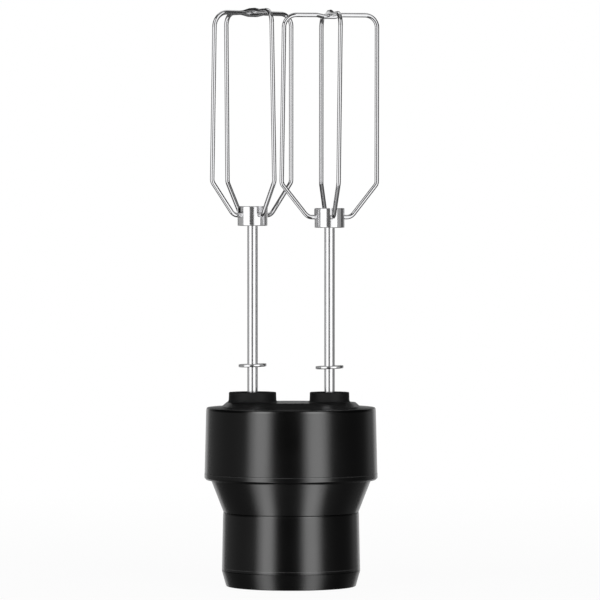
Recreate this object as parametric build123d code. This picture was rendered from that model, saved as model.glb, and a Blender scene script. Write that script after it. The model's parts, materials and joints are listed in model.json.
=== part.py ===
from build123d import *
import math
import os

# Twin beater head for a stick blender, millimetres, +Z up.
# It stands on the open rim of its coupling sleeve, beaters upward.
# Origin: centre of the coupling rim. The two beater axes lie at X = -/+ AXIS_X.

# ---------------------------------------------------------------- driving sizes
AXIS_X = 18.0            # half the distance between the beater axes

# outer housing, radius and height of each edge
RIM_R0, RIM_R1, RIM_Z1 = 30.35, 32.45, 7.45         # tapered locking ring
SLEEVE_R0, SLEEVE_R1 = 32.35, 31.8                 # coupling sleeve, bottom and top
SLEEVE_Z0, SLEEVE_Z1 = 7.48, 34.45
CONE_R0, CONE_R1 = 31.65, 37.3                     # cone of the lower housing
CONE_Z0, CONE_Z1 = 34.6, 49.3
LIP_R, LIP_Z0, LIP_Z1 = 40.5, 49.9, 52.8           # lip under the drum
DRUM_R0, DRUM_R1 = 40.42, 39.7                     # drum, bottom and top
DRUM_Z0, DRUM_Z1 = 52.83, 84.0
DRUM_EDGE_Z = 83.5                                 # the shoulder falls to here at its outer edge
DRUM_FILLET = 0.75
WALL = 2.2

PLATFORM_Z = 86.0                                  # raised oval platform
PLATFORM_R = 32.6                                  # its round foot
PLATFORM_TOP = (60.2, 33.6)                        # its stadium top

SOCKET_R = (11.15, 9.3)                            # left, right collar radius
SOCKET_BORE = (8.5, 7.45)
SOCKET_Z = 90.7

# coupling bore
BORE_R, BORE_Z = 28.2, 9.7
BORE_R2 = 27.2
BULKHEAD_Z = 31.3

# gear train: module, teeth
M_B, T_B = 1.0, 36                                 # beater gears
T_P = 12                                           # compound pinion, same module
M_C, T_C, T_I = 0.8, 40, 10                        # compound wheel, input pinion
COMPOUND = (-4.1111, 19.5729)                      # axle of the compound gear
PRESSURE = 25.0

# beaters
SHAFT_R = 2.5
WIRE_R = 1.06
DISC_R, DISC_T = 6.65, 1.4
DISC_TILT = 2.0                                    # the discs sit slightly askew
HUB_R, HUB_H = 7.1, 9.2
DISC_Z, HUB_Z = 102.3, 167.5                       # right beater: disc middle, hub bottom
WIRE_Z, BEND_Z, TOP_Z = 172.5, 188.1, 266.9
BEND_R1 = 10.2                                     # where the wire turns up
LEFT_LIFT = 0.9                                    # the left beater seats this much higher
INSERT_Z = 57.8                                    # shaft's lower tip

# each leg: azimuth and radius at the lower bend, azimuth and radius at the top
LEFT_UPPER = 0.6                                   # the left beater's upper wire stands this much prouder
LEFT_LEGS = [(211.1, 21.75, 212.9, 20.75), (34.2, 21.8, 34.0, 21.8),
             (-61.7, 21.8, -65.3, 21.6), (123.3, 21.8, 125.1, 21.8)]
RIGHT_LEGS = [(186.6, 22.5, 186.6, 21.3), (10.4, 22.5, 8.6, 22.5),
              (-79.6, 22.5, -77.1, 22.4), (99.6, 22.5, 99.5, 22.4)]

os.makedirs("parts", exist_ok=True)


def cyl(r, z0, z1, x=0.0, y=0.0):
    return Pos(x, y, (z0 + z1) / 2) * Cylinder(r, z1 - z0)


def tube(ro, ri, z0, z1, x=0.0, y=0.0):
    return cyl(ro, z0, z1, x, y) - cyl(ri, z0 - 1, z1 + 1, x, y)


def turned(points):
    """A solid of revolution about Z from (radius, height) points."""
    face = make_face(Polyline(*[(r, 0, z) for r, z in points], close=True))
    return revolve(face, axis=Axis.Z)


def ring_edges(solid, r, z, tol=0.05):
    """Circular edges about Z at that radius and height."""
    found = []
    for e in solid.edges().filter_by(GeomType.CIRCLE):
        c = e.arc_center
        if abs(e.radius - r) < tol and abs(c.Z - z) < tol and abs(c.X) < tol and abs(c.Y) < tol:
            found.append(e)
    return found


def slab(lx, ly, z0, z1, x=0.0, y=0.0, rot=0.0):
    return Pos(x, y, (z0 + z1) / 2) * Rot(0, 0, rot) * Box(lx, ly, z1 - z0)


def one(shape):
    """The shape as a single solid where it has one."""
    s = shape.solids()
    return s[0] if len(s) == 1 else Compound(children=list(s))


def save(shape, name):
    solids = shape.solids() if hasattr(shape, "solids") else shape
    out = solids[0] if len(solids) == 1 else Compound(children=list(solids))
    out.label = name
    export_step(out, f"parts/{name}.step")


# ------------------------------------------------------------------------ gears
def gear_face(m, z, phase, add=0.9, ded=1.15, thin=0.06):
    """Involute spur gear outline; phase is the angle of a tooth's centre."""
    pa = math.radians(PRESSURE)
    rp, ra, rf = m * z / 2, m * z / 2 + add * m, m * z / 2 - ded * m
    rb = rp * math.cos(pa)
    inv = math.tan(pa) - pa
    half = math.pi / (2 * z) - thin / rp               # half tooth angle at the pitch circle
    r_low = max(rb, rf)

    def half_at(r):
        a = math.acos(min(1.0, rb / r))
        return half + inv - (math.tan(a) - a)

    radii = [r_low + (ra - r_low) * t for t in (0.0, 0.18, 0.42, 0.7, 1.0)]
    pts = []
    for k in range(z):
        c = math.radians(phase) + 2 * math.pi * k / z
        if rf < r_low - 1e-6:
            pts.append((rf, c - half_at(r_low) * 1.0))
        pts += [(r, c - half_at(r)) for r in radii]
        pts += [(r, c + half_at(r)) for r in reversed(radii)]
        if rf < r_low - 1e-6:
            pts.append((rf, c + half_at(r_low) * 1.0))
    xy = [(r * math.cos(a), r * math.sin(a)) for r, a in pts]
    return make_face(Polyline(*xy, close=True))


def spur(m, z, phase, z0, z1, x, y):
    return Pos(x, y, z0) * extrude(gear_face(m, z, phase), z1 - z0)


def mate_phase(theta, phase1, z1, z2):
    """Tooth phase of gear 2, seen from gear 1 in direction theta, that puts the pair in mesh."""
    p1, p2 = 360 / z1, 360 / z2
    u1 = ((theta - phase1) / p1) % 1.0
    return theta + 180 - p2 * (0.5 - u1)


left_phase = 0.0
right_phase = mate_phase(0.0, left_phase, T_B, T_B)
theta_lc = math.degrees(math.atan2(COMPOUND[1], COMPOUND[0] + AXIS_X))
pinion_phase = mate_phase(theta_lc, left_phase, T_B, T_P)
theta_ci = math.degrees(math.atan2(-COMPOUND[1], -COMPOUND[0]))
wheel_phase = 0.0
input_phase = mate_phase(theta_ci, wheel_phase, T_C, T_I)

# ---------------------------------------------------------------- outer housing
# locking ring at the open rim
ring = turned([(RIM_R0, 0.0), (RIM_R1, RIM_Z1), (BORE_R + 1.3, RIM_Z1), (BORE_R + 1.3, RIM_Z1 + 2.2),
               (BORE_R, RIM_Z1 + 2.2), (BORE_R, 0.0)])
ring = fillet(ring_edges(ring, RIM_R0, 0.0), 0.4)
ring = fillet(ring_edges(ring, RIM_R1, RIM_Z1), 0.28)
ring = chamfer(ring_edges(ring, BORE_R, 0.0), 0.4)
# four entry slots of the bayonet, open at the rim
for k in range(4):
    a = 45 + 90 * k
    c = BORE_R - 0.1
    ring -= Pos(c * math.cos(math.radians(a)), c * math.sin(math.radians(a)), 5) * Rot(0, 0, a) * Box(1.6, 7.0, 12)
save(ring, "locking_ring")

# coupling sleeve with its bulkhead
sleeve = turned([(SLEEVE_R0, SLEEVE_Z0), (SLEEVE_R1, SLEEVE_Z1 - 0.8), (SLEEVE_R1 - 0.13, SLEEVE_Z1), (8.7, SLEEVE_Z1), (8.7, BULKHEAD_Z),
                 (BORE_R2, BULKHEAD_Z), (BORE_R2, BORE_Z), (BORE_R + 1.35, BORE_Z), (BORE_R + 1.35, SLEEVE_Z0)])
sleeve = fillet(ring_edges(sleeve, SLEEVE_R1 - 0.13, SLEEVE_Z1), 0.2)
sleeve = fillet(ring_edges(sleeve, SLEEVE_R0, SLEEVE_Z0), 0.08)
SCREW_A = (90.0, 210.0, 330.0)
SCREW_R = 22.0
for a in SCREW_A:
    x, y = SCREW_R * math.cos(math.radians(a)), SCREW_R * math.sin(math.radians(a))
    sleeve -= cyl(1.55, BULKHEAD_Z - 1, SLEEVE_Z1 + 1, x, y)
# turning tracks of the bayonet
for k in range(4):
    a = 45 + 90 * k
    for da in (0.0, 6.0, 12.0, 18.0):
        c = BORE_R2 + 0.6
        b = math.radians(a + da)
        sleeve -= Pos(c * math.cos(b), c * math.sin(b), 11.4) * Rot(0, 0, a + da) * Box(3.0, 7.0, 3.6)
save(sleeve, "coupling_sleeve")

# lower housing: lip, cone, floor and the bearing tube of the input shaft
lower = turned([
    (8.6, CONE_Z0 + 0.05), (CONE_R0 - 0.05, CONE_Z0 + 0.05), (CONE_R0, CONE_Z0 + 0.2), (CONE_R1, CONE_Z1), (LIP_R - 0.9, LIP_Z0 - 0.15), (LIP_R, LIP_Z0 + 0.75), (LIP_R, LIP_Z1),
    (37.6, LIP_Z1), (37.6, 50.9), (35.0, 50.9), (35.0, 49.2), (CONE_R0 - WALL + 0.6, 37.2),
    (8.6, 37.2), (8.6, 46.0), (6.0, 46.0), (6.0, 28.6), (8.6, 28.6)])
lower = fillet(ring_edges(lower, LIP_R - 0.9, LIP_Z0 - 0.15), 0.5)
lower = fillet(ring_edges(lower, LIP_R, LIP_Z0 + 0.75), 0.5)
lower = fillet(ring_edges(lower, LIP_R, LIP_Z1), 0.2)
for a in SCREW_A:
    x, y = SCREW_R * math.cos(math.radians(a)), SCREW_R * math.sin(math.radians(a))
    lower -= cyl(1.55, 30, 40, x, y)
# six webs from the floor to the bearing tube
for k in range(6):
    a = 30 + 60 * k
    b = math.radians(a)
    web = Pos(13.0 * math.cos(b), 13.0 * math.sin(b), 39.7) * Rot(0, 0, a) * Box(10.0, 1.4, 5.2)
    lower += web
save(lower, "lower_housing")

# drum shell
drum = turned([
    (DRUM_R0, DRUM_Z0), (DRUM_R1, DRUM_EDGE_Z - 1.35), (DRUM_R1 - 0.1, DRUM_EDGE_Z - 0.75), (DRUM_R1 - 0.28, DRUM_EDGE_Z), (DRUM_R1 - 1.4, DRUM_EDGE_Z + 0.1), (28.5, DRUM_Z1 + 0.27), (0.0, DRUM_Z1 + 0.27), (0.0, 81.6), (37.3, 81.6), (37.5, 55.2), (38.3, 55.1), (38.3, DRUM_Z0)])
drum = fillet(ring_edges(drum, DRUM_R1 - 0.28, DRUM_EDGE_Z), DRUM_FILLET)
# platform: round foot drawn up to a stadium
foot = Plane.XY.offset(DRUM_Z1 - 0.15) * Circle(PLATFORM_R)
sx, sy = PLATFORM_TOP
top = Plane.XY.offset(PLATFORM_Z) * Ellipse(sx / 2, sy / 2)
platform = loft(Sketch() + [foot, top])
drum += platform
# ceiling bosses: bush seats, screw pillars, axle seat
BOSSES = [(24.5, 21.5), (-24.5, 21.5), (24.5, -21.5), (-24.5, -21.5)]
for s in (-1, 1):
    drum += cyl(9.9, 77.0, 82.0, s * AXIS_X)
for x, y in BOSSES:
    drum += cyl(3.0, 55.1, 82.0, x, y)
drum += cyl(4.2, 75.5, 82.0, *COMPOUND)
for s, i in ((-1, 0), (1, 1)):
    drum -= cyl(8.0, 76, 90, s * AXIS_X)
    drum -= cyl(SOCKET_R[i] - 0.6, 84.8, 90, s * AXIS_X)
for x, y in BOSSES:
    drum -= cyl(1.25, 50, 66, x, y)
drum -= cyl(2.0, 70, 80.0, *COMPOUND)
# two ejector dimples on the platform
for x, y in ((-3.7, -6.0), (5.8, 6.0)):
    drum -= cyl(0.9, PLATFORM_Z - 0.35, PLATFORM_Z + 1, x, y)
save(drum, "drum_shell")

# socket collars
for i, (s, side) in enumerate(((-1, "left"), (1, "right"))):
    R, r = SOCKET_R[i], SOCKET_BORE[i]
    x = s * AXIS_X
    collar = turned([(R - 0.6, 84.85), (R - 0.6, PLATFORM_Z), (R + 0.9, PLATFORM_Z), (R + 0.6, PLATFORM_Z + 0.1), (R + 0.32, PLATFORM_Z + 0.32), (R + 0.12, PLATFORM_Z + 0.7), (R, PLATFORM_Z + 1.3), (R - 0.1, SOCKET_Z),
                     (r, SOCKET_Z), (r, 87.6), (7.3 if i else 8.3, 87.6), (7.3 if i else 8.3, 84.85)])
    collar = fillet(ring_edges(collar, R - 0.1, SOCKET_Z), 0.45)
    collar = fillet(ring_edges(collar, r, SOCKET_Z), 0.35)
    save(Pos(x, 0, 0) * collar, f"{side}_socket_collar")
    rs = 7.3 if i else 8.3
    seal = turned([(rs, 85.0), (rs, 87.0), (6.9, 87.5), (6.15, 88.1), (6.15, 87.3), (6.6, 86.6), (6.6, 85.0)])
    save(Pos(x, 0, 0) * seal, f"{side}_lip_seal")
    bush = tube(8.0, 6.04, 77.0, 84.7, x)
    save(bush, f"{side}_upper_bush")

# gear plate with its pillars and lower bushes
plate = cyl(37.3, 52.0, 55.0)
for s in (-1, 1):
    plate += cyl(8.4, 48.6, 55.0, s * AXIS_X)
plate += cyl(4.5, 49.5, 56.4, *COMPOUND)
for a in SCREW_A:
    x, y = SCREW_R * math.cos(math.radians(a)), SCREW_R * math.sin(math.radians(a))
    plate += cyl(3.4, 37.3, 52.5, x, y)
for s in (-1, 1):
    plate -= cyl(6.0, 40, 60, s * AXIS_X)
plate -= cyl(5.5, 40, 60)
plate -= cyl(2.0, 51.0, 60, *COMPOUND)
for x, y in BOSSES:
    plate -= cyl(1.35, 50, 60, x, y)
for a in SCREW_A:
    x, y = SCREW_R * math.cos(math.radians(a)), SCREW_R * math.sin(math.radians(a))
    plate -= cyl(1.5, 36, 48.0, x, y)
save(plate, "gear_plate")
for s, side in ((-1, "left"), (1, "right")):
    x = s * AXIS_X
    bush = tube(6.0, 4.04, 48.6, 55.0, x) + tube(7.4, 4.04, 55.0, 56.0, x)
    save(bush, f"{side}_lower_bush")

# gasket between the lower housing and the gear plate
save(tube(37.2, 35.2, 50.95, 51.95), "housing_gasket")

# screws: pan head with a cross recess
def screw(x, y, z_head, z_seat, z_end, r_head=2.7, r=1.5):
    s = cyl(r_head, z_head, z_seat, x, y) + cyl(r, z_seat, z_end, x, y)
    s -= slab(r_head + 0.3, 0.6, z_head - 0.1, z_head + 1.0, x, y)
    s -= slab(0.6, r_head + 0.3, z_head - 0.1, z_head + 1.0, x, y)
    return s.solids()[0]

save([screw(x, y, 50.3, 52.0, 65.0, 2.2, 1.25) for x, y in BOSSES], "plate_screws")
save([screw(SCREW_R * math.cos(math.radians(a)), SCREW_R * math.sin(math.radians(a)), 29.2, BULKHEAD_Z, 47.0) for a in SCREW_A], "sleeve_screws")

# input bushes
save(tube(6.0, 3.04, 28.6, 34.6), "input_lower_bush")
save(tube(6.0, 3.04, 40.0, 46.0), "input_upper_bush")

# silicone ring that the motor unit's nose seals against
save(turned([(BORE_R2, 27.0), (BORE_R2, 30.0), (26.2, 30.0), (25.2, 28.6), (26.2, 27.6), (26.2, 27.0)]), "nose_seal")

# axle and washers of the compound gear
axle = chamfer(cyl(2.0, 51.0, 79.9, *COMPOUND).edges().filter_by(GeomType.CIRCLE), 0.3)
save(axle, "compound_axle")
save([tube(3.9, 2.0, 56.4, 56.95, *COMPOUND).solids()[0], tube(3.9, 2.0, 74.7, 75.45, *COMPOUND).solids()[0]], "compound_washers")

# --------------------------------------------------------------- compound gear
wheel = spur(M_C, T_C, wheel_phase, 57.2, 62.8, *COMPOUND)
wheel -= tube(13.6, 7.0, 61.2, 64.0, *COMPOUND)
wheel -= tube(13.6, 7.0, 56.0, 58.8, *COMPOUND)
for k in range(5):
    b = math.radians(72 * k)
    wheel -= cyl(2.2, 55, 65, COMPOUND[0] + 10.3 * math.cos(b), COMPOUND[1] + 10.3 * math.sin(b))
wheel -= cyl(4.2, 56, 64, *COMPOUND)
save(wheel, "compound_wheel")
pinion = spur(M_B, T_P, pinion_phase, 64.2, 72.8, *COMPOUND)
pinion += cyl(4.2, 57.0, 64.3, *COMPOUND)
pinion += cyl(5.6, 62.8, 64.2, *COMPOUND)
pinion += cyl(4.2, 72.7, 74.6, *COMPOUND)
pinion -= cyl(2.05, 56, 76, *COMPOUND)
save(pinion, "compound_pinion")

# ----------------------------------------------------------------- input drive
shaft = cyl(3.0, 21.0, 56.4) + cyl(2.0, 56.4, 63.4)
shaft -= tube(4.0, 2.5, 46.7, 47.5)
shaft -= cyl(4.0, 20.9, 25.4) - slab(4.6, 10, 20, 25.4)
shaft = chamfer(ring_edges(shaft, 2.0, 63.4), 0.3)
save(shaft, "input_shaft")
ip = spur(M_C, T_I, input_phase, 56.6, 63.2, 0, 0) - cyl(2.0, 50, 70)
save(ip, "input_pinion")
cup = cyl(8.0, 12.6, 27.4)
cup = fillet(ring_edges(cup, 8.0, 12.6), 0.8)
cup -= cyl(5.6, 12.0, 21.0)
for k in range(6):
    b = math.radians(60 * k)
    cup += Pos(5.2 * math.cos(b), 5.2 * math.sin(b), 17.2) * Rot(0, 0, 60 * k) * Box(1.8, 1.3, 7.6)
shaft_key = cyl(3.0, 20.9, 30) - (cyl(4.0, 20, 25.4) - slab(4.6, 10, 19, 25.4))
cup -= shaft_key
cup -= tube(9.0, 7.2, 22.4, 23.4)
save(cup, "drive_coupling")
save((tube(4.6, 2.5, 46.75, 47.45) - slab(6, 1.8, 46, 48, 4)), "input_circlip")
save(tube(5.4, 3.04, 27.5, 28.5), "input_thrust_washer")

# -------------------------------------------------------------------- spindles
for i, (s, side) in enumerate(((-1, "left"), (1, "right"))):
    x = s * AXIS_X
    lift = LEFT_LIFT if side == "left" else 0.0
    legs = LEFT_LEGS if side == "left" else RIGHT_LEGS
    dog_a = legs[0][0]
    sp = turned([(0, 46.6), (4.0, 46.6), (4.0, 57.0), (5.0, 57.0), (5.0, 73.2), (6.0, 73.2), (6.0, 88.7), (0, 88.7)])
    sp = chamfer(ring_edges(sp, 6.0, 88.7), 0.5)
    sp -= cyl(2.56, 57.2, 90)
    sp -= cyl(3.75, 61.3 + lift, 62.9 + lift)
    sp -= tube(5.0, 3.4, 47.4, 48.3)
    for a in (dog_a + 45, dog_a + 135):
        sp -= slab(9.5, 1.6, 79.8 + lift, 90, 0, 0, a)
    sp -= Pos(0, 0, 88.1) * Cone(2.56, 3.4, 1.3)
    save(Pos(x, 0, 0) * sp, f"{side}_spindle")
    g = spur(M_B, T_B, left_phase if i == 0 else right_phase, 65.0, 72.0, x, 0)
    g -= tube(15.0, 8.2, 70.2, 73, x)
    g -= tube(15.0, 8.2, 64, 66.8, x)
    for k in range(6):
        b = math.radians(60 * k + 30)
        g -= cyl(2.3, 60, 75, x + 11.6 * math.cos(b), 11.6 * math.sin(b))
    g += tube(8.0, 5.0, 64.0, 73.1, x)
    g -= cyl(5.0, 60, 75, x)
    save(g, f"{side}_beater_gear")
    clip = tube(3.4, 2.2, 61.5 + lift, 62.7 + lift, x) - slab(5.0, 2.2, 60, 65, x + 3.0, 0)
    save(clip, f"{side}_retaining_clip")
    save(tube(6.2, 3.4, 47.5, 48.2, x) - slab(6, 3.4, 46, 50, x + 4.6, 0), f"{side}_spindle_circlip")
    save(tube(7.0, 4.04, 56.1, 56.9, x), f"{side}_thrust_washer")

    # ---- beater
    z = lambda v: v + lift
    rod = cyl(SHAFT_R, z(INSERT_Z), z(HUB_Z + HUB_H - 0.4))
    rod = chamfer(ring_edges(rod, SHAFT_R, z(INSERT_Z)), 1.1)
    rod = chamfer(ring_edges(rod, SHAFT_R, z(HUB_Z + HUB_H - 0.4)), 0.4)
    rod -= tube(4.0, 2.1, z(61.4), z(62.8))
    for a in (dog_a + 45, dog_a + 135):
        rod += slab(9.0, 1.25, z(80.6), z(86.2), 0, 0, a)
    save(Pos(x, 0, 0) * rod, f"{side}_beater_shaft")

    disc = cyl(DISC_R, -DISC_T / 2, DISC_T / 2)
    disc = fillet(disc.edges().filter_by(GeomType.CIRCLE), 0.55)
    disc = Pos(0, 0, z(DISC_Z)) * Rot(0, -DISC_TILT, 0) * disc - cyl(SHAFT_R, z(DISC_Z) - 5, z(DISC_Z) + 5)
    save(Pos(x, 0, 0) * disc, f"{side}_splash_disc")

    hub = cyl(HUB_R, z(HUB_Z), z(HUB_Z + HUB_H))
    hub = fillet([e for e in hub.edges().filter_by(GeomType.CIRCLE)], 0.5)
    hub -= cyl(SHAFT_R, 0, 300)
    for az, _, _, _ in legs:
        b = math.radians(az)
        hub -= Pos((3.45 + 6) * math.cos(b), (3.45 + 6) * math.sin(b), z(WIRE_Z) + 4) * Rot(0, 0, az) * Box(12, 2 * WIRE_R + 0.04, 8)
        hub -= Pos((3.45 + 6) * math.cos(b), (3.45 + 6) * math.sin(b), z(WIRE_Z)) * Rot(0, 0, az) * Rot(0, 90, 0) * Cylinder(WIRE_R + 0.02, 12)
    save(Pos(x, 0, 0) * hub, f"{side}_beater_hub")

    def polar(r, a, h):
        return Vector(x + r * math.cos(math.radians(a)), r * math.sin(math.radians(a)), h)

    for n, name in ((0, "lower"), (2, "upper")):
        (a0, r0, t0, s0), (a1, r1, t1, s1) = legs[n], legs[n + 1]
        dz = -0.79 if name == "lower" else 1.35
        zt = z(TOP_Z) + (LEFT_UPPER if (side, name) == ("left", "upper") else 0.0)
        span = 6.0 if name == "lower" else 7.5
        mid = 2.4
        pts = [polar(3.5, a0, z(WIRE_Z)), polar(BEND_R1, a0, z(WIRE_Z)), polar(r0, a0, z(BEND_Z)), polar(s0, t0, zt),
               polar(span, t0, zt), polar(mid, t0, z(TOP_Z) + dz),
               polar(mid, t1, z(TOP_Z) + dz), polar(span, t1, zt),
               polar(s1, t1, zt), polar(r1, a1, z(BEND_Z)), polar(BEND_R1, a1, z(WIRE_Z)), polar(3.5, a1, z(WIRE_Z))]
        radii = [4.2, 3.2, 7.0 if (side, name) == ("left", "lower") else 5.8, 4.0, 3.0, 3.0, 4.0, 5.8, 3.2, 4.2]
        path = FilletPolyline(*pts, radius=radii)
        start = Plane(origin=pts[0], z_dir=pts[1] - pts[0])
        wire = sweep(start * Circle(WIRE_R), path=path)
        save(wire, f"{side}_beater_wire_{name}")
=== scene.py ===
import json
import math
import bpy
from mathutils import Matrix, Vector

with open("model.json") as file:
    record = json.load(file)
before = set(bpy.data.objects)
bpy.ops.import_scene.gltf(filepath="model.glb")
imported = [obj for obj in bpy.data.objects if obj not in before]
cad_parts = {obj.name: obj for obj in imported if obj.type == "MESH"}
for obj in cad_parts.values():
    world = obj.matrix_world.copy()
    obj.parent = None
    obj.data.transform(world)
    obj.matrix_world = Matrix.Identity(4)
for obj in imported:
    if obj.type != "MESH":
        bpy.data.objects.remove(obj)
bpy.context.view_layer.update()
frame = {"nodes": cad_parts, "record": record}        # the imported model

nodes = frame["nodes"]


# ------------------------------------------------------------------ materials
def new_material(name):
    m = bpy.data.materials.new(name)
    m.use_nodes = True
    nt = m.node_tree
    nt.nodes.clear()
    out = nt.nodes.new("ShaderNodeOutputMaterial")
    bsdf = nt.nodes.new("ShaderNodeBsdfPrincipled")
    nt.links.new(bsdf.outputs[0], out.inputs[0])
    return m, nt, bsdf


def coords(nt, scale=(1, 1, 1)):
    tc = nt.nodes.new("ShaderNodeTexCoord")
    mp = nt.nodes.new("ShaderNodeMapping")
    mp.inputs["Scale"].default_value = scale
    nt.links.new(tc.outputs["Object"], mp.inputs["Vector"])
    return mp.outputs["Vector"]


def noise(nt, vec, scale, detail=3.0, rough=0.55):
    n = nt.nodes.new("ShaderNodeTexNoise")
    n.inputs["Scale"].default_value = scale
    n.inputs["Detail"].default_value = detail
    n.inputs["Roughness"].default_value = rough
    nt.links.new(vec, n.inputs["Vector"])
    return n.outputs["Fac"]


def ramp(nt, fac, stops):
    r = nt.nodes.new("ShaderNodeValToRGB")
    el = r.color_ramp.elements
    el[0].position, el[0].color = stops[0][0], (*stops[0][1], 1)
    el[1].position, el[1].color = stops[-1][0], (*stops[-1][1], 1)
    for p, c in stops[1:-1]:
        e = el.new(p)
        e.color = (*c, 1)
    nt.links.new(fac, r.inputs["Fac"])
    return r.outputs["Color"]


def spread(nt, fac, lo, hi, a=0.3, b=0.7):
    mr = nt.nodes.new("ShaderNodeMapRange")
    mr.inputs["From Min"].default_value = a
    mr.inputs["From Max"].default_value = b
    mr.inputs["To Min"].default_value = lo
    mr.inputs["To Max"].default_value = hi
    nt.links.new(fac, mr.inputs["Value"])
    return mr.outputs["Result"]


def bump(nt, bsdf, height, strength, distance, below=None):
    b = nt.nodes.new("ShaderNodeBump")
    b.inputs["Strength"].default_value = strength
    b.inputs["Distance"].default_value = distance
    nt.links.new(height, b.inputs["Height"])
    if below is not None:
        nt.links.new(below, b.inputs["Normal"])
    nt.links.new(b.outputs["Normal"], bsdf.inputs["Normal"])
    return b.outputs["Normal"]


def grey(v, tint=0.0):
    return (v * (1 - tint), v, v * (1 + tint))


def painted_seam_highlight(nt, color, v, edges, tone):
    """Painted highlight lines along the parting seams, a shade lighter in the base colour where the seam lips would
    catch the light: each is a height, a half width and a strength, in metres.
    """
    xyz = nt.nodes.new("ShaderNodeSeparateXYZ")
    nt.links.new(v, xyz.inputs["Vector"])
    total = None
    for height, half, strength in edges:
        away = nt.nodes.new("ShaderNodeMath")
        away.operation = "SUBTRACT"
        nt.links.new(xyz.outputs["Z"], away.inputs[0])
        away.inputs[1].default_value = height
        size = nt.nodes.new("ShaderNodeMath")
        size.operation = "ABSOLUTE"
        nt.links.new(away.outputs["Value"], size.inputs[0])
        fade = spread(nt, size.outputs["Value"], strength, 0.0, 0.45 * half, half)
        if total is None:
            total = fade
        else:
            most = nt.nodes.new("ShaderNodeMath")
            most.operation = "MAXIMUM"
            nt.links.new(total, most.inputs[0])
            nt.links.new(fade, most.inputs[1])
            total = most.outputs["Value"]
    patchy = nt.nodes.new("ShaderNodeMath")
    patchy.operation = "MULTIPLY"
    nt.links.new(total, patchy.inputs[0])
    nt.links.new(spread(nt, noise(nt, v, 170.0, 3.0), 0.6, 1.0), patchy.inputs[1])
    mix = nt.nodes.new("ShaderNodeMix")
    mix.data_type = "RGBA"
    nt.links.new(patchy.outputs["Value"], mix.inputs[0])
    nt.links.new(color, mix.inputs[6])
    mix.inputs[7].default_value = (*grey(tone), 1.0)
    return mix.outputs[2]


def plastic(name, base, rough, grain=900.0, grain_depth=0.00002, cloud=0.12, specular=0.5, coat=0.0, edges=()):
    """Moulded black plastic: fine spark-eroded grain, faint cloudy sheen, and a painted highlight a shade lighter along
    the parting edges.
    """
    m, nt, bsdf = new_material(name)
    v = coords(nt)
    wide = noise(nt, v, 38.0, 2.0)
    fine = noise(nt, v, grain, 2.0, 0.6)
    lo, hi = base * (1 - cloud), base * (1 + cloud)
    color = ramp(nt, wide, [(0.35, grey(lo, 0.01)), (0.65, grey(hi, 0.02))])
    # Painted highlight: the base colour is lightened in thin bands at the parting seams.
    if edges:
        color = painted_seam_highlight(nt, color, v, edges, 0.02)
    nt.links.new(color, bsdf.inputs["Base Color"])
    nt.links.new(spread(nt, wide, rough - 0.02, rough + 0.025), bsdf.inputs["Roughness"])
    bump(nt, bsdf, fine, 0.22, grain_depth)
    bsdf.inputs["Specular IOR Level"].default_value = specular
    bsdf.inputs["Coat Weight"].default_value = coat
    bsdf.inputs["Coat Roughness"].default_value = 0.18
    return m


def metal(name, color, rough, wear=0.02, grain=600.0, stretch=(1, 1, 1), depth=0.000004, stain=0.05):
    m, nt, bsdf = new_material(name)
    v = coords(nt, stretch)
    v0 = coords(nt)
    wide = noise(nt, v0, 60.0, 3.0)
    fine = noise(nt, v, grain, 3.0, 0.6)
    dark = tuple(c * (1 - stain) for c in color)
    nt.links.new(ramp(nt, wide, [(0.3, dark), (0.7, color)]), bsdf.inputs["Base Color"])
    nt.links.new(spread(nt, fine, rough, rough + wear), bsdf.inputs["Roughness"])
    bump(nt, bsdf, fine, 0.15, depth)
    bsdf.inputs["Metallic"].default_value = 1.0
    return m


# housing_plastic gets painted highlight lines at its three parting seams (52.5, 33.8 and 8.6 mm up).
M = {
    "housing_plastic": plastic("satin_black_plastic", 0.0010, 0.205, grain=1500.0, grain_depth=0.00005,
                               edges=((0.05250, 0.00030, 1.0), (0.03380, 0.00032, 0.15), (0.00860, 0.00030, 1.0))),
    "ring_plastic": plastic("satin_black_ring", 0.0010, 0.22, grain=1500.0, grain_depth=0.00005, specular=0.37),
    "socket_plastic": plastic("matt_black_socket", 0.0055, 0.62, grain=1200.0, specular=0.22),
    "seal_rubber": plastic("seal_rubber", 0.016, 0.62, grain=500.0, specular=0.35),
    "inner_plastic": plastic("inner_plastic", 0.022, 0.45),
    "gear_plastic": plastic("gear_plastic", 0.62, 0.42, cloud=0.04),
    "bush_bronze": metal("sintered_bronze", (0.50, 0.36, 0.19), 0.34, 0.12, 1500.0, depth=0.00002, stain=0.2),
    "machined_steel": metal("turned_steel", (0.56, 0.56, 0.57), 0.24, 0.08, 220.0, (1, 1, 14)),
    "screw_steel": metal("zinc_screw", (0.52, 0.53, 0.55), 0.28, 0.1, 700.0),
    "spindle_steel": metal("spindle_steel", (0.40, 0.40, 0.41), 0.30, 0.08, 260.0, (1, 1, 10)),
    "beater_chrome": metal("polished_plating", (0.84, 0.84, 0.85), 0.14, 0.02, 900.0, (1, 1, 0.04), depth=0.0000001, stain=0.03),
}
M["beater_wire"] = metal("drawn_plated_wire", (0.71, 0.71, 0.72), 0.06, 0.02, 700.0, (1, 1, 0.04), depth=0.0000001, stain=0.04)
for part in frame["record"]["subparts"]:
    o = nodes[part["node"]]
    o.data.materials.clear()
    o.data.materials.append(M["beater_wire" if "_beater_wire_" in part["node"] else part["material_slot"]])


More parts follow.
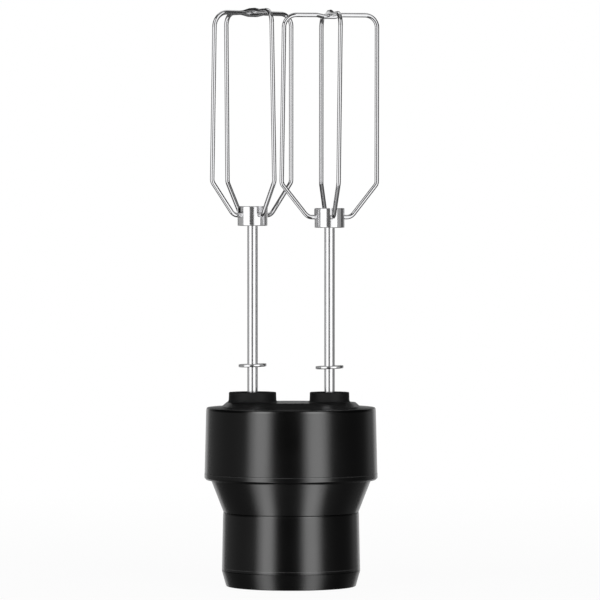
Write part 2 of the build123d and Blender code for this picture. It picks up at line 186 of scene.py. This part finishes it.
# ---------------------------------------------------------------------- stage
# The floor is pale, catches the contact shadow, and fades into the white of the studio far out.
floor_mat, nt, bsdf = new_material("pale_floor")
out = nt.nodes["Material Output"]
fv = coords(nt)
nt.links.new(ramp(nt, noise(nt, fv, 3.0, 2.0), [(0.3, (0.76, 0.76, 0.76)), (0.7, (0.80, 0.80, 0.80))]), bsdf.inputs["Base Color"])
bsdf.inputs["Roughness"].default_value = 0.7
bsdf.inputs["Specular IOR Level"].default_value = 0.0
glow = nt.nodes.new("ShaderNodeEmission")
glow.inputs[0].default_value = (1.0, 1.0, 1.0, 1)
dist = nt.nodes.new("ShaderNodeVectorMath")
dist.operation = "LENGTH"
nt.links.new(fv, dist.inputs[0])
near = spread(nt, dist.outputs["Value"], 0.95, 1.0, 0.12, 0.75)
mix = nt.nodes.new("ShaderNodeMixShader")
nt.links.new(near, mix.inputs[0])
nt.links.new(bsdf.outputs[0], mix.inputs[1])
nt.links.new(glow.outputs[0], mix.inputs[2])
nt.links.new(mix.outputs[0], out.inputs[0])
bpy.ops.mesh.primitive_plane_add(size=60.0, location=(0, 0, -0.0002))
floor = bpy.context.object
floor.name = "studio_floor"
floor.data.materials.append(floor_mat)
floor.visible_glossy = False
floor.visible_diffuse = False
floor.visible_shadow = False

# White to the eye all round; what the metal and plastic mirror is a darker room with a bright wall behind.
world = bpy.data.worlds.new("studio")
bpy.context.scene.world = world
world.use_nodes = True
wt = world.node_tree
wt.nodes.clear()


def wmath(op, a, b=None):
    n = wt.nodes.new("ShaderNodeMath")
    n.operation = op
    for i, v in ((0, a), (1, b)):
        if v is None:
            continue
        if isinstance(v, (int, float)):
            n.inputs[i].default_value = v
        else:
            wt.links.new(v, n.inputs[i])
    return n.outputs[0]


def wramp(value, stops):
    """A piecewise-linear curve of a value from -1 to 1."""
    n = wt.nodes.new("ShaderNodeValToRGB")
    el = n.color_ramp.elements
    pts = [((p + 1) / 2, v) for p, v in stops]
    el[0].position, el[0].color = pts[0][0], (pts[0][1],) * 3 + (1,)
    el[1].position, el[1].color = pts[-1][0], (pts[-1][1],) * 3 + (1,)
    for p, v in pts[1:-1]:
        e = el.new(p)
        e.color = (v, v, v, 1)
    wt.links.new(wmath("ADD", wmath("MULTIPLY", value, 0.5), 0.5), n.inputs[0])
    return n.outputs["Color"]


w_tc = wt.nodes.new("ShaderNodeTexCoord")
w_sep = wt.nodes.new("ShaderNodeSeparateXYZ")
wt.links.new(w_tc.outputs["Generated"], w_sep.inputs[0])
wx, wy, wz = w_sep.outputs
depth = wramp(wy, [(-1.0, 0.02), (-0.93, 0.05), (-0.7, 0.24), (-0.3, 0.29), (0.2, 0.24), (0.6, 0.21), (0.85, 0.26), (0.95, 0.32), (1.0, 0.60)])
lift = wramp(wz, [(-1.0, 0.15), (-0.68, 0.36), (-0.55, 0.46), (-0.4, 0.5), (-0.3, 0.6), (-0.08, 1.0), (0.06, 1.0), (0.1, 0.4), (0.14, 0.04), (0.35, 0.06), (0.6, 0.28), (1.0, 0.5)])
side = wramp(wx, [(-1.0, 0.8), (-0.9, 0.95), (-0.6, 1.05), (-0.3, 1.0), (0.3, 0.95), (0.55, 1.1), (0.76, 1.32), (0.9, 0.4), (1.0, 0.25)])
w_out = wt.nodes.new("ShaderNodeOutputWorld")
w_mix = wt.nodes.new("ShaderNodeMixShader")
w_cam = wt.nodes.new("ShaderNodeBackground")
w_env = wt.nodes.new("ShaderNodeBackground")
w_path = wt.nodes.new("ShaderNodeLightPath")
w_cam.inputs[0].default_value = (1.0, 1.0, 1.0, 1)
w_env.inputs[0].default_value = (1.0, 1.0, 1.0, 1)
wt.links.new(wmath("MULTIPLY", wmath("MULTIPLY", depth, lift), side), w_env.inputs[1])
wt.links.new(w_path.outputs["Is Camera Ray"], w_mix.inputs[0])
wt.links.new(w_env.outputs[0], w_mix.inputs[1])
wt.links.new(w_cam.outputs[0], w_mix.inputs[2])
wt.links.new(w_mix.outputs[0], w_out.inputs[0])


def softbox(name, turn, half, low, high, radiance, distance=0.9):
    """An upright area light. turn is its middle in degrees to the right of the front, half its half-width in degrees, low and high its elevation limits."""
    a = math.radians(turn - 90)
    width = 2 * distance * math.tan(math.radians(half))
    z0, z1 = (0.13 + distance * math.tan(math.radians(e)) for e in (low, high))
    light = bpy.data.lights.new(name, "AREA")
    light.shape = "RECTANGLE"
    light.size, light.size_y = width, z1 - z0
    light.energy = radiance * math.pi * width * (z1 - z0)
    ob = bpy.data.objects.new(name, light)
    bpy.context.scene.collection.objects.link(ob)
    ob.location = (distance * math.cos(a), distance * math.sin(a), (z0 + z1) / 2)
    d = Vector((0, 0, ob.location.z)) - ob.location
    ob.rotation_euler = d.to_track_quat("-Z", "Y").to_euler()
    ob.visible_camera = False
    return ob


# Black plastic and bright metal are lit apart, as a photographer would with two exposures.
metal_group = bpy.data.collections.new("metal")
wire_group = bpy.data.collections.new("wire")
bright_group = bpy.data.collections.new("bright")
dark_group = bpy.data.collections.new("dark")
for name, o in nodes.items():
    if "_beater_wire_" in name:
        wire_group.objects.link(o)
        bright_group.objects.link(o)
    elif o.data.materials[0] in [M[k] for k in ("beater_chrome", "spindle_steel", "machined_steel", "screw_steel")]:
        metal_group.objects.link(o)
        bright_group.objects.link(o)
    else:
        dark_group.objects.link(o)
dark_group.objects.link(floor)

for name, turn, half, low, high, level, distance in (
        ("left_wide", -41.5, 18.0, -24, 28, 1.1, 0.96), ("left_mid", -41.0, 13.5, -24, 28, 1.45, 0.93), ("left_core", -39.5, 8.5, -24, 28, 1.5, 0.90),
        ("left_low_wide", -48.5, 20.0, -70, -24, 1.1, 0.96), ("left_low_mid", -47.5, 14.5, -70, -24, 1.45, 0.93), ("left_low_core", -45.5, 8.5, -70, -24, 1.4, 0.90),
        ("left_crest", -40.5, 12.0, 10, 34, 2.2, 0.87),
        ("right_wide", 34.0, 18.5, -24, 28, 1.3, 0.96), ("right_mid", 34.0, 13.5, -24, 28, 1.55, 0.93), ("right_core", 33.0, 9.5, -24, 28, 1.3, 0.90),
        ("right_low_wide", 40.5, 20.5, -70, -24, 1.3, 0.96), ("right_low_mid", 40.5, 14.5, -70, -24, 1.55, 0.93), ("right_low_core", 38.5, 9.5, -70, -24, 1.3, 0.90),
        ("right_crest", 33.0, 13.0, 10, 34, 2.2, 0.87)):
    softbox(name, turn, half, low, high, level, distance).light_linking.receiver_collection = dark_group
for name, turn, half, level, distance in (
        ("metal_left", -46.5, 25.0, 1.15, 0.90), ("metal_right", 34.5, 25.0, 1.15, 0.90), ("metal_front", -6.0, 14.0, 0.10, 0.93),
        ("metal_left_side", -100.0, 28.0, 0.20, 0.93), ("metal_right_side", 79.0, 19.0, 0.27, 0.93)):
    softbox(name, turn, half, -55, 45, level, distance).light_linking.receiver_collection = metal_group
for name, turn, half, level in (("wire_left", -50.0, 24.0, 1.25), ("wire_right", 35.0, 23.0, 1.25)):
    softbox(name, turn, half, -60, 50, level).light_linking.receiver_collection = wire_group
softbox("back_left", -158, 10, -30, 30, 0.5, 1.1)
softbox("back_right", 158, 10, -30, 30, 0.5, 1.1)


def panel(name, size, location, radiance, group=None):
    """A flat area light aimed at the middle of the part."""
    light = bpy.data.lights.new(name, "AREA")
    light.shape = "RECTANGLE"
    light.size, light.size_y = size
    light.energy = radiance * math.pi * size[0] * size[1]
    ob = bpy.data.objects.new(name, light)
    bpy.context.scene.collection.objects.link(ob)
    ob.location = location
    ob.rotation_euler = (Vector((0, 0, 0.1)) - ob.location).to_track_quat("-Z", "Y").to_euler()
    ob.visible_camera = False
    if group is not None:
        ob.light_linking.receiver_collection = group


panel("top", (1.4, 0.7), (0, 0.75, 1.35), 0.9)
panel("metal_under", (0.9, 0.7), (0, -0.12, -0.85), 0.30, bright_group)
panel("metal_over", (0.9, 0.6), (0, -0.1, 1.25), 0.22, bright_group)

# --------------------------------------------------------------------- camera
cam_data = bpy.data.cameras.new("camera")
cam = bpy.data.objects.new("camera", cam_data)
bpy.context.scene.collection.objects.link(cam)
cam_data.sensor_width = 36.0
cam_data.lens = 270.0
cam_data.clip_end = 100.0
cam.location = (0.0042, -2.104, 0.1688)
look = Vector((0.0042, 0.0, 0.13375)) - cam.location
cam.rotation_euler = look.to_track_quat("-Z", "Y").to_euler()
bpy.context.scene.camera = cam
bpy.context.scene.view_settings.view_transform = "Standard"
